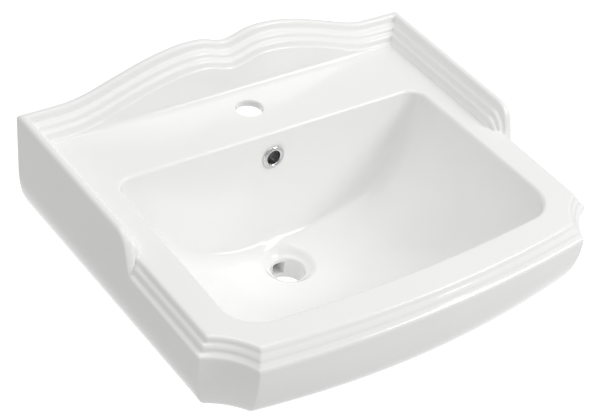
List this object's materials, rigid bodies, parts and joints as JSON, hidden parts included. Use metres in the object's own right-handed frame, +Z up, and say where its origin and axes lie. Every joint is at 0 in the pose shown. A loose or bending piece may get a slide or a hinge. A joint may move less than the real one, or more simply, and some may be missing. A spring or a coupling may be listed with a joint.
{
  "type": "pedestal sink basin",
  "caption": "Rectangular white vitreous-china wash basin with a scrolled backsplash, side upstands, scalloped front corners, a tap hole, an overflow and a waste outlet.",
  "frame": {"origin": "on the wall face at the middle of the basin's back, level with the flat deck round the bowl", "axes": "+X to the user's right when facing the wall, +Y into the wall, +Z up"},
  "size_m": [0.564, 0.4704, 0.2845],
  "materials": {
    "vitreous_china": "gloss white glaze",
    "polished_chrome": "polished chrome plate",
    "spring_steel": "bright stamped sheet"
  },
  "bodies": {
    "root": {"basin": "vitreous_china", "overflow_bezel": "polished_chrome", "overflow_clip": "spring_steel"}
  },
  "joints": []
}
